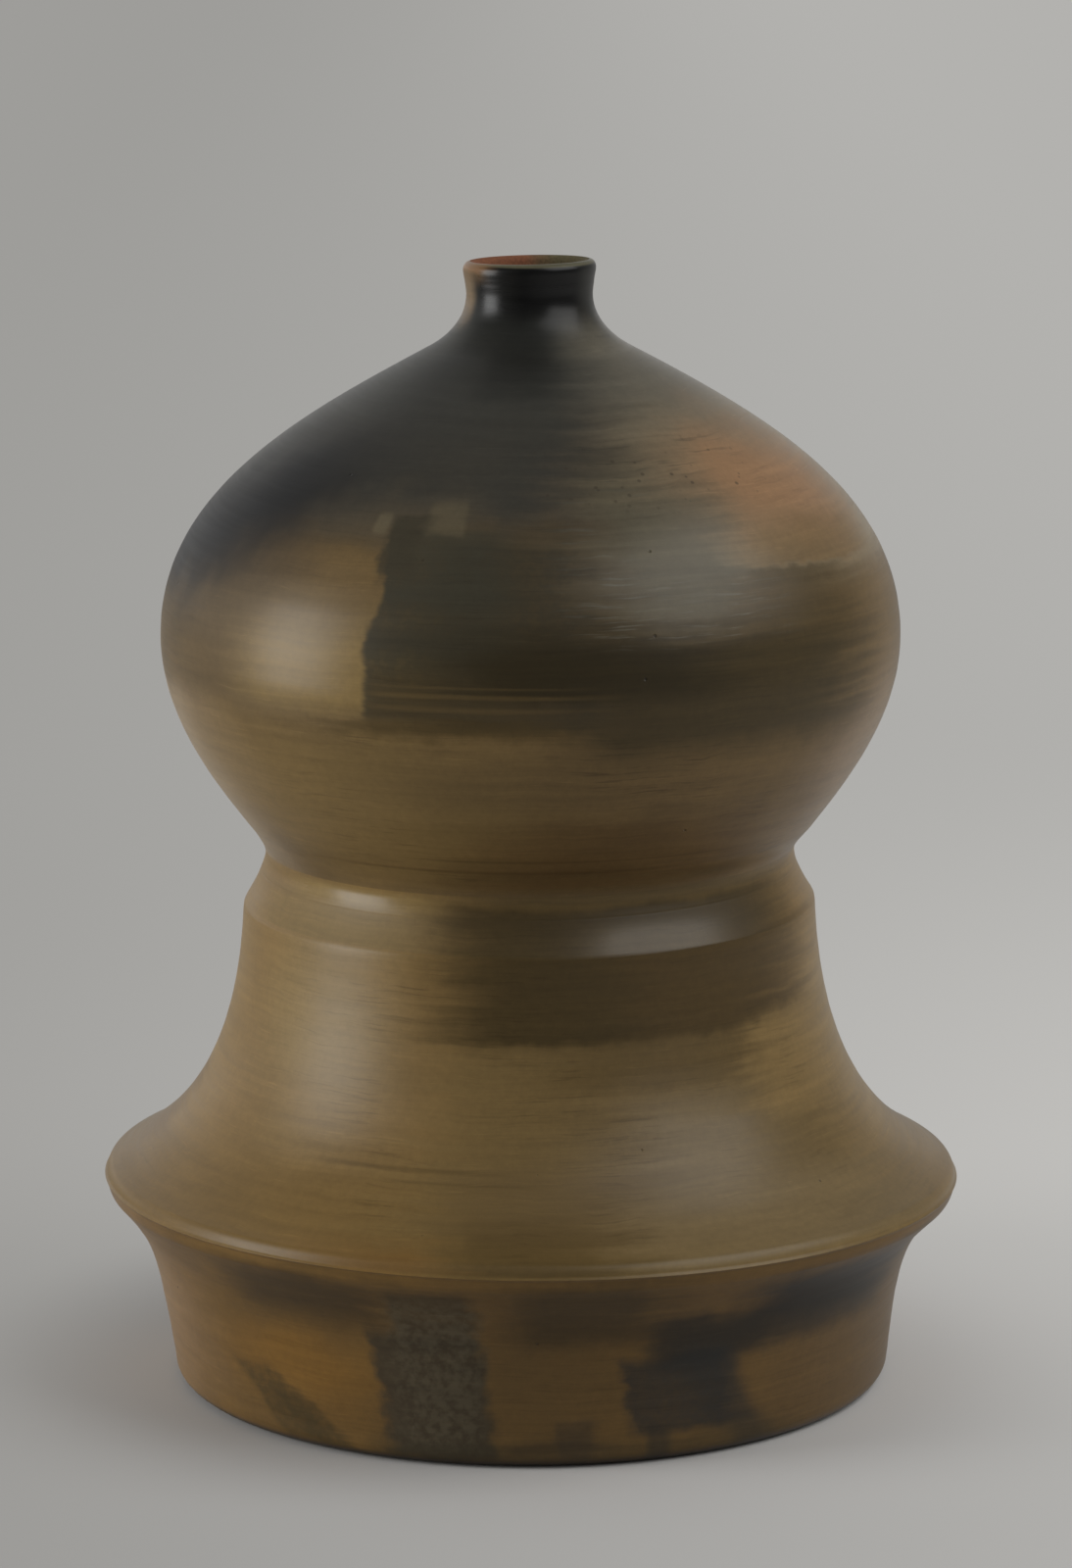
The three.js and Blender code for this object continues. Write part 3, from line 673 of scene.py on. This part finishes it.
bulb_marks = shoulder_marks + (
    # Flank from the waist to the belly
    dict(turn=-86, rise=200, wide=26, tall=34, soft=0.7, strength=0.8, colour="#a08d73"),
    dict(turn=-30, rise=206, wide=30, tall=26, soft=0.7, strength=0.6, colour="#806a40"),
    dict(turn=74, rise=205, wide=18, tall=28, soft=0.7, strength=0.75, colour="#8f7a62"),
    dict(sides=((-18, 10), (44, -12), (160, 1), (186, -6)), fray=(28, 8), strength=0.45, colour="#4d3d24"),
    dict(sides=((-6, 14), (50, -14), (177, 2), (198, -6)), fray=(34, 18), strength=0.35, colour="#553d22"),
    dict(sides=((-24, 12), (24, -12), (205, 3), (222, -5)), fray=(34, 16), strength=0.3, colour="#55452a"),
    dict(sides=((-34, 14), (64, -16), (180, 5), (229, -5)), strength=0.4, colour="#3c2c17", dashed=True),
    dict(sides=((-2, 10), (52, -14), (262, 6), (310, -8)), strength=0.5, colour="#39372d", dashed=True),
    dict(sides=((-42, 12), (26, -14), (181.2, 0.4), (182.2, -0.4)), strength=0.4, colour="#3f2e18",
         edge="crisp"),
    dict(sides=((-20, 9), (40, -14), (185.4, 0.3), (186, -0.3)), strength=0.35, colour="#3f2e18",
         edge="crisp"),
    # Polished tan on the left, lightened in part as a painted highlight, and the soot over it
    dict(sides=((-88, 12), (-14, -4), (231, 5), (267, -17)), strength=0.9, colour="#625136"),
    # Polished tan: real gloss, and a lighter colour that is in part a painted highlight of the left lamp
    dict(sides=((-48, 9), (-14, -4), (234, 6), (261, -13)), strength=0.85, colour="#897142", gloss=0.27),
    dict(turn=-68, rise=285, wide=40, tall=21, tilt=40, soft=0.8, strength=0.85, colour="#201f1c",
         gloss=0.43),
    dict(turn=-66, rise=283, wide=26, tall=12, tilt=42, soft=0.7, strength=0.95, colour="#060606"),
    dict(turn=-92, rise=278, wide=22, tall=15, soft=0.6, strength=0.92, colour="#0a0a0a", gloss=0.43),
    # Polished place on the right
    dict(sides=((12, 7), (37, -7), (258, 9), (300, -14)), fray=(16, 7), strength=0.75, colour="#524e3e",
         gloss=0.25),
    # Dark patch in front, with its bowed left edge
    dict(sides=((-14, 6), (13, -8), (230, 2), (287, -5)), fray=(16, 6), strength=0.92, colour="#363124",
         mottled=0.12),
    dict(sides=((-25.3, 0.7), (-4, -5), (233, 1.5), (260, -4)), fray=(2, 3), strength=0.93,
         colour="#3b3627", mottled=0.12, edge="crisp"),
    dict(sides=((-24.3, 0.6), (-4, -5), (253, 4), (273, -4)), slant=0.13, fray=(2, 2), strength=0.93,
         colour="#3b3628", mottled=0.12, edge="crisp"),
    dict(sides=((-24, 0.6), (-4, -5), (267, 4), (288, -1.5)), slant=-0.09, fray=(2, 2), strength=0.93,
         colour="#3a372b", mottled=0.12, edge="crisp"),
    # Dark band round the belly, and the lines in it
    dict(sides=((-25, 1), (6, -8), (229, 1.5), (247, -8)), fray=(6, 4), strength=0.6, colour="#4b3d23"),
    dict(sides=((8, 9), (60, -13), (221, 8), (259, -8)), fray=(18, 9), strength=0.9, colour="#3a3019"),
    dict(sides=((-10, 9), (30, -10), (239, 4), (258, -8)), fray=(18, 7), strength=0.85, colour="#2d2512"),
    dict(sides=((34, 8), (60, -12), (256, 6), (273, -1.2)), fray=(4, 3), strength=0.76, colour="#46391f"),
    dict(sides=((-30, 5), (6, -6), (227, 1.4), (232.5, -1.4)), fray=(28, 7), strength=0.5,
         colour="#4a3b1c"),
    dict(sides=((-22, 6), (4, -10), (243, 0.4), (243.7, -0.4)), fray=(6, 1), strength=0.2,
         colour="#77613a", edge="crisp"),
    dict(sides=((-24, 4), (8, -10), (240, 0.5), (241.3, -0.5)), fray=(6, 1), strength=0.27,
         colour="#77613a", edge="crisp"),
    dict(sides=((-24, 4), (6, -10), (236, 0.6), (237.4, -0.6)), fray=(6, 1), strength=0.26,
         colour="#6f5a36", edge="crisp"),
    # Edge of the blush, its pits, and pale scratches that are in part painted glints
    dict(sides=((40, 7), (76, -9), (273.5, 0.9), (286, -5)), fray=(4, 3), strength=0.7, colour="#6f5836"),
    dict(sides=((0, 14), (54, -6), (293, 4), (309, -4)), strength=0.6, colour="#3a3226", pitted=True),
    # Pale dashes in the polished place on the right: scratches whose paleness is in part painted glints
    dict(sides=((8, 8), (42, -8), (256, 4), (296, -6)), strength=0.3, colour="#8f8b7c", dashed=True),
    # Upper corner of the dark patch, with pale chips and a finger
    dict(turn=-26, rise=291, wide=16, tall=7, soft=0.7, strength=0.5, colour="#564c3a"),
    dict(sides=((-28.8, 0.6), (-25.9, -0.6), (286.5, 0.8), (292, -1)), strength=0.5, colour="#6b614a",
         edge="wavy"),
    dict(sides=((-19.6, 0.8), (-12, -0.8), (286, 0.8), (295, -2)), strength=0.52, colour="#5f5641",
         edge="wavy"),
    dict(sides=((-25.2, 0.7), (-19, -2), (275, 4), (291.5, -1.2)), fray=(2, 2), strength=0.85,
         colour="#3a3528"),
    # Sides and back
    dict(turn=130, rise=272, wide=28, tall=28, strength=0.92, colour="#15130f"),
    dict(sides=((86, 8), (118, -12), (228, 6), (262, -9)), fray=(20, 9), strength=0.85, colour="#443a26"),
    dict(turn=-132, rise=232, wide=26, tall=22, strength=0.85, colour="#33291a"),
)
bulb_finish = smoke_fired("burnished_bulb", BULB_CLAY, BULB_FLUSH, gloss=0.33, marks=bulb_marks)
lower_outside = rounded_waist(sweep(WAIST_SEAM, BELLY_SEAM, LOWER_LEANS, LOWER_PULLS, steps=80))
lower_inside = sweep(WAIST_INSIDE, BELLY_INSIDE, LOWER_LEANS, LOWER_PULLS, steps=50)
thrown_section("bulb_lower_fired", "bulb_lower", lower_outside, lower_inside, bulb_finish, "burnished_bulb")
luting_coil("waist_coil_fired", "waist_coil", across_join(collar_inside, lower_inside))
upper_outside = sweep(BELLY_SEAM, NECK_SEAM, UPPER_LEANS, UPPER_PULLS, steps=120)
upper_inside = sweep(BELLY_INSIDE, NECK_INSIDE, UPPER_LEANS, UPPER_PULLS, steps=70)
thrown_section("bulb_upper_fired", "bulb_upper", upper_outside, upper_inside, bulb_finish, "burnished_bulb")
luting_coil("belly_coil_fired", "belly_coil", across_join(lower_inside, upper_inside))


# Neck: a ring of terracotta thrown on the closed shoulder, coved up to its narrowest place and out to a lip.
# It was burnished outside to the top of the lip. No hand reaches its join from inside, so no coil backs it.

NARROWEST = (19.95, 349.3)
THROAT = (15.9, 349.3)
LIP_OUTSIDE = (20.75, 357.9)
LIP_INSIDE = (16.8, 357.9)
LIP_RISE = 2.1
LIP_STEPS = 28
COVE_LEANS = (-1.86, 0.0)
COVE_PULLS = (5.8, 8.9)
THROAT_PULLS = (2.5, 8.9)
BEAD_HEIGHT = 0.2  # of the bead round the lip, with its level and half width
BEAD_LEVEL = 357.2
BEAD_HALF_WIDTH = 1.5
UNDERCUT_DEPTH = 0.05  # of the groove under the bead
UNDERCUT_LEVEL = 353.8
UNDERCUT_HALF_WIDTH = 1.0

mouth_clay = raw_clay("mouth_terracotta", clay="#80523a", smoked="#5d553c", side=22.0)
neck_marks = shoulder_marks + (
    # Black neck, with a blacker block in front
    dict(sides=((-80, 12), (110, -20), (338, 5), (346, -3)), strength=0.6, colour="#1e1f1c", gloss=0.3),
    dict(sides=((-56, 8), (100, -16), (344, 4), (400, -1)), strength=0.97, colour="#11110f", gloss=0.22),
    dict(sides=((-10, 7), (58, -9), (345, 5), (400, -1)), strength=0.9, colour="#030303", gloss=0.24),
    dict(sides=((52, 9), (130, -12), (344, 4), (400, -1)), strength=0.8, colour="#20201c", gloss=0.38),
    # Tan on the left
    dict(sides=((-160, 20), (-60, -7), (342, 6), (400, -1)), strength=0.8, colour="#846f54", gloss=0.3),
    dict(sides=((-150, 20), (-42, -10), (354, 3), (400, -1)), strength=0.6, colour="#765d40"),
    # Pale lip, flushed on the left
    dict(sides=((-200, 1), (200, -1), (358.9, 0.4), (400, -1)), strength=0.85, colour="#605c47",
         gloss=0.36, edge="crisp"),
    dict(sides=((-120, 15), (-40, -15), (357, 1), (400, -1)), strength=0.7, colour="#83603f"),
)
neck_finish = smoke_fired("smoked_neck", BULB_CLAY, BULB_FLUSH, gloss=0.3, marks=neck_marks)
neck_cove = sweep(NECK_SEAM, NARROWEST, COVE_LEANS, COVE_PULLS, steps=50)
lip_flare = sweep(NARROWEST, LIP_OUTSIDE, (0.0, 0.0), (2.5, 4.2), steps=40)
lip_centre = ((LIP_OUTSIDE[0] + LIP_INSIDE[0]) / 2, LIP_OUTSIDE[1])
lip = arc(lip_centre, (LIP_OUTSIDE[0] - LIP_INSIDE[0]) / 2, LIP_RISE, 0.0, np.pi, LIP_STEPS)
neck_outside = np.vstack([neck_cove, lip_flare[1:], lip[1:-1]])
lip_top = len(neck_outside) - LIP_STEPS // 2
bead = BEAD_HEIGHT * bell_curve(neck_outside, BEAD_LEVEL, BEAD_HALF_WIDTH)
undercut = UNDERCUT_DEPTH * bell_curve(neck_outside, UNDERCUT_LEVEL, UNDERCUT_HALF_WIDTH)
neck_outside = moved_out(neck_outside, (bead - undercut) * (np.arange(len(neck_outside)) <= lip_top))
throat_cove = sweep(NECK_INSIDE, THROAT, COVE_LEANS, THROAT_PULLS, steps=30)
mouth_flare = sweep(THROAT, LIP_INSIDE, (0.0, 0.2), (2.5, 2.5), steps=16)
neck_inside = np.vstack([throat_cove, mouth_flare[1:]])
neck = turned("neck_ring_fired", np.vstack([neck_outside, neck_inside[::-1]]), (0, lip_top))
fitted(neck, "neck_ring", "smoked_neck", neck_finish, mouth_clay)


# Ground that the vase stands on: a pale sheet of woven cloth, laid flat, that runs back out of view.
# Far from the vase it glows as a backdrop with a lamp would, and both carry painted light, darker left and
# front.

# Painted light on the cloth: darker on the left and in front, paler on the right and behind, as the light
# falls
CLOTH_LEFT = "#a09e9b"
CLOTH_RIGHT = "#e6e4e1"
CLOTH_LIGHT_FALLOFF = (0.95, 1.3)  # painted light: shares of the cloth's colour, in front of the vase and behind it
# Painted light on the backdrop's tone too: darker on the left and in front, brighter near the vase on the
# right
FAR_LEFT = "#9e9d9a"
FAR_RIGHT = "#b3b2af"
FAR_LIGHT_FALLOFF = (0.85, 1.0)  # painted light: shares of the backdrop's tone, in front and behind
FAR_LIGHT_LIFTS = (1.0, 1.2)  # and painted light on the left and right, near the vase

ring = np.linspace(0.0, 2.0 * np.pi, 96, endpoint=False)
spread = np.r_[np.linspace(0.05, 1.0, 20), np.geomspace(1.1, 30.0, 20)][:, None]
flat = np.stack([spread * np.cos(ring), spread * np.sin(ring), 0.0 * spread * ring], axis=-1)
place = np.arange(flat.shape[0] * flat.shape[1]).reshape(flat.shape[:2])
tiles = np.stack([place[:-1], place[1:], np.roll(place[1:], -1, 1), np.roll(place[:-1], -1, 1)], axis=-1)
floor_mesh = bpy.data.meshes.new("floor")
floor_mesh.from_pydata(flat.reshape(-1, 3), [], tiles.reshape(-1, 4).tolist() + [place[0].tolist()])
floor = bpy.data.objects.new("floor", floor_mesh)
bpy.context.scene.collection.objects.link(floor)

# Matt cloth round the foot keeps the shadow. Over some tens of centimetres the backdrop's own tone takes its
# place, for the camera, and behind the vase for its mirror images too. Both tones carry painted light
cloth, tree = bare_material("pale_cloth")
spot = add(tree, "TexCoord")["Object"]
x, y, _ = add(tree, "SeparateXYZ", inputs={0: spot})
away = add(tree, "VectorMath", {"operation": "LENGTH"}, {0: spot})["Value"]
near = add(tree, "MapRange", SMOOTH, {0: away, 1: 0.12, 2: 0.21, 3: 0.0, 4: 0.7})[0]
far = add(tree, "MapRange", SMOOTH, {0: away, 1: 0.3, 2: 1.1, 3: 0.0, 4: 0.3})[0]
far = add(tree, "Math", {"operation": "ADD"}, {0: near, 1: far})[0]
across = add(tree, "MapRange", SMOOTH, {0: x, 1: -0.5, 2: 0.5})[0]
behind = add(tree, "MapRange", SMOOTH, {0: y, 1: -0.2, 2: 0.3})[0]
ray = add(tree, "LightPath")
either = {0: ray["Is Glossy Ray"], 1: ray["Is Transmission Ray"]}
mirrored = add(tree, "Math", {"operation": "MAXIMUM"}, either)[0]
mirrored = add(tree, "Math", TIMES, {0: mirrored, 1: behind})[0]
shown = add(tree, "Math", {"operation": "MAXIMUM"}, {0: ray["Is Camera Ray"], 1: mirrored})[0]
shown = add(tree, "Math", TIMES, {0: shown, 1: far})[0]
near_colour = add(tree, "Mix", COLOURS, {0: across, 6: linear(CLOTH_LEFT), 7: linear(CLOTH_RIGHT)})[2]
paler = add(tree, "MapRange", inputs={0: behind, 3: CLOTH_LIGHT_FALLOFF[0], 4: CLOTH_LIGHT_FALLOFF[1]})[0]
near_colour = add(tree, "VectorMath", {"operation": "SCALE"}, {0: near_colour, "Scale": paler})[0]
near_tone = add(tree, "BsdfPrincipled", inputs={"Base Color": near_colour, "Roughness": 0.9})[0]
far_colour = add(tree, "Mix", COLOURS, {0: across, 6: linear(FAR_LEFT), 7: linear(FAR_RIGHT)})[2]
lift = add(tree, "MapRange", inputs={0: across, 3: FAR_LIGHT_LIFTS[0], 4: FAR_LIGHT_LIFTS[1]})[0]
glow = add(tree, "MapRange", SMOOTH, {0: away, 1: 0.3, 2: 1.2, 3: lift, 4: 1.0})[0]
dimmed = add(tree, "MapRange", SMOOTH, {0: y, 1: -0.25, 2: 0.3, 3: FAR_LIGHT_FALLOFF[0], 4: FAR_LIGHT_FALLOFF[1]})[0]
glow = add(tree, "Math", TIMES, {0: glow, 1: dimmed})[0]
far_tone = add(tree, "Emission", inputs={"Color": far_colour, "Strength": glow})[0]
sheet = add(tree, "MixShader", inputs={0: shown, 1: near_tone, 2: far_tone})[0]
add(tree, "OutputMaterial", inputs={"Surface": sheet})
floor_mesh.materials.append(cloth)


# Light: a tall soft box level with the vase on the left, and a wide one high on the right.
# A pale room fills the shadows, and is brightest low behind the vase on the left.

LIT_PLACE = Vector((0.0, 0.0, 0.2))  # the middle of the vase, which the boxes face
BRIGHT_WAY = (-0.4, 0.7, -0.6)
ROOM_LEVELS = (0.21, 0.83)


def lamp(name, azimuth, elevation, distance, size, power):
    """Soft box that faces the vase from an azimuth round from the front and an elevation, in degrees."""
    a, e = np.radians(azimuth), np.radians(elevation)
    out = Vector((np.sin(a) * np.cos(e), -np.cos(a) * np.cos(e), np.sin(e)))
    data = bpy.data.lights.new(name, "AREA")
    data.shape = "RECTANGLE"
    data.size, data.size_y = size
    data.energy = power
    box = bpy.data.objects.new(name, data)
    box.location = LIT_PLACE + out * distance
    box.rotation_euler = out.to_track_quat("Z", "Y").to_euler()
    box.visible_camera = False
    bpy.context.scene.collection.objects.link(box)


lamp("left_box", azimuth=-75.0, elevation=7.0, distance=1.3, size=(0.6, 0.95), power=11.6)
lamp("right_box", azimuth=65.0, elevation=40.0, distance=1.6, size=(1.5, 1.25), power=15.0)

world = bpy.data.worlds.new("room")
world.use_nodes = True
tree = world.node_tree
tree.nodes.clear()
way = add(tree, "TexCoord")["Generated"]
facing = add(tree, "VectorMath", {"operation": "DOT_PRODUCT"}, {0: way, 1: BRIGHT_WAY})["Value"]
level = add(tree, "MapRange", SMOOTH, {0: facing, 1: -0.2, 2: 0.85, 3: ROOM_LEVELS[0], 4: ROOM_LEVELS[1]})[0]
fill = add(tree, "Background", inputs={"Color": linear("#ffffff"), "Strength": level})[0]
pale = add(tree, "Background", inputs={"Color": linear(FAR_RIGHT), "Strength": 1.0})[0]
room = add(tree, "MixShader", inputs={0: add(tree, "LightPath")["Is Camera Ray"], 1: fill, 2: pale})[0]
add(tree, "OutputWorld", inputs={"Surface": room})
bpy.context.scene.world = world


# Camera at the photograph's place: 1.87 m in front of the axis and 0.56 m up, with a long lens.
# It looks down by 11 degrees, with a slight turn and roll.

CAMERA_PLACE = (0.0, -1.8713, 0.558)
LOOK_DOWN = 11.07
LOOK_ASIDE = -0.056
ROLL = -0.1
LENS = 137.25
SENSOR = 36.0

camera_data = bpy.data.cameras.new("camera")
camera_data.sensor_width = SENSOR
camera_data.lens = LENS
camera = bpy.data.objects.new("camera", camera_data)
aim = Euler((np.radians(90.0 - LOOK_DOWN), 0.0, np.radians(LOOK_ASIDE))).to_matrix().to_4x4()
camera.matrix_world = Matrix.Translation(CAMERA_PLACE) @ aim @ Matrix.Rotation(np.radians(ROLL), 4, "Z")
bpy.context.scene.collection.objects.link(camera)
bpy.context.scene.camera = camera
bpy.context.scene.view_settings.view_transform = "Standard"
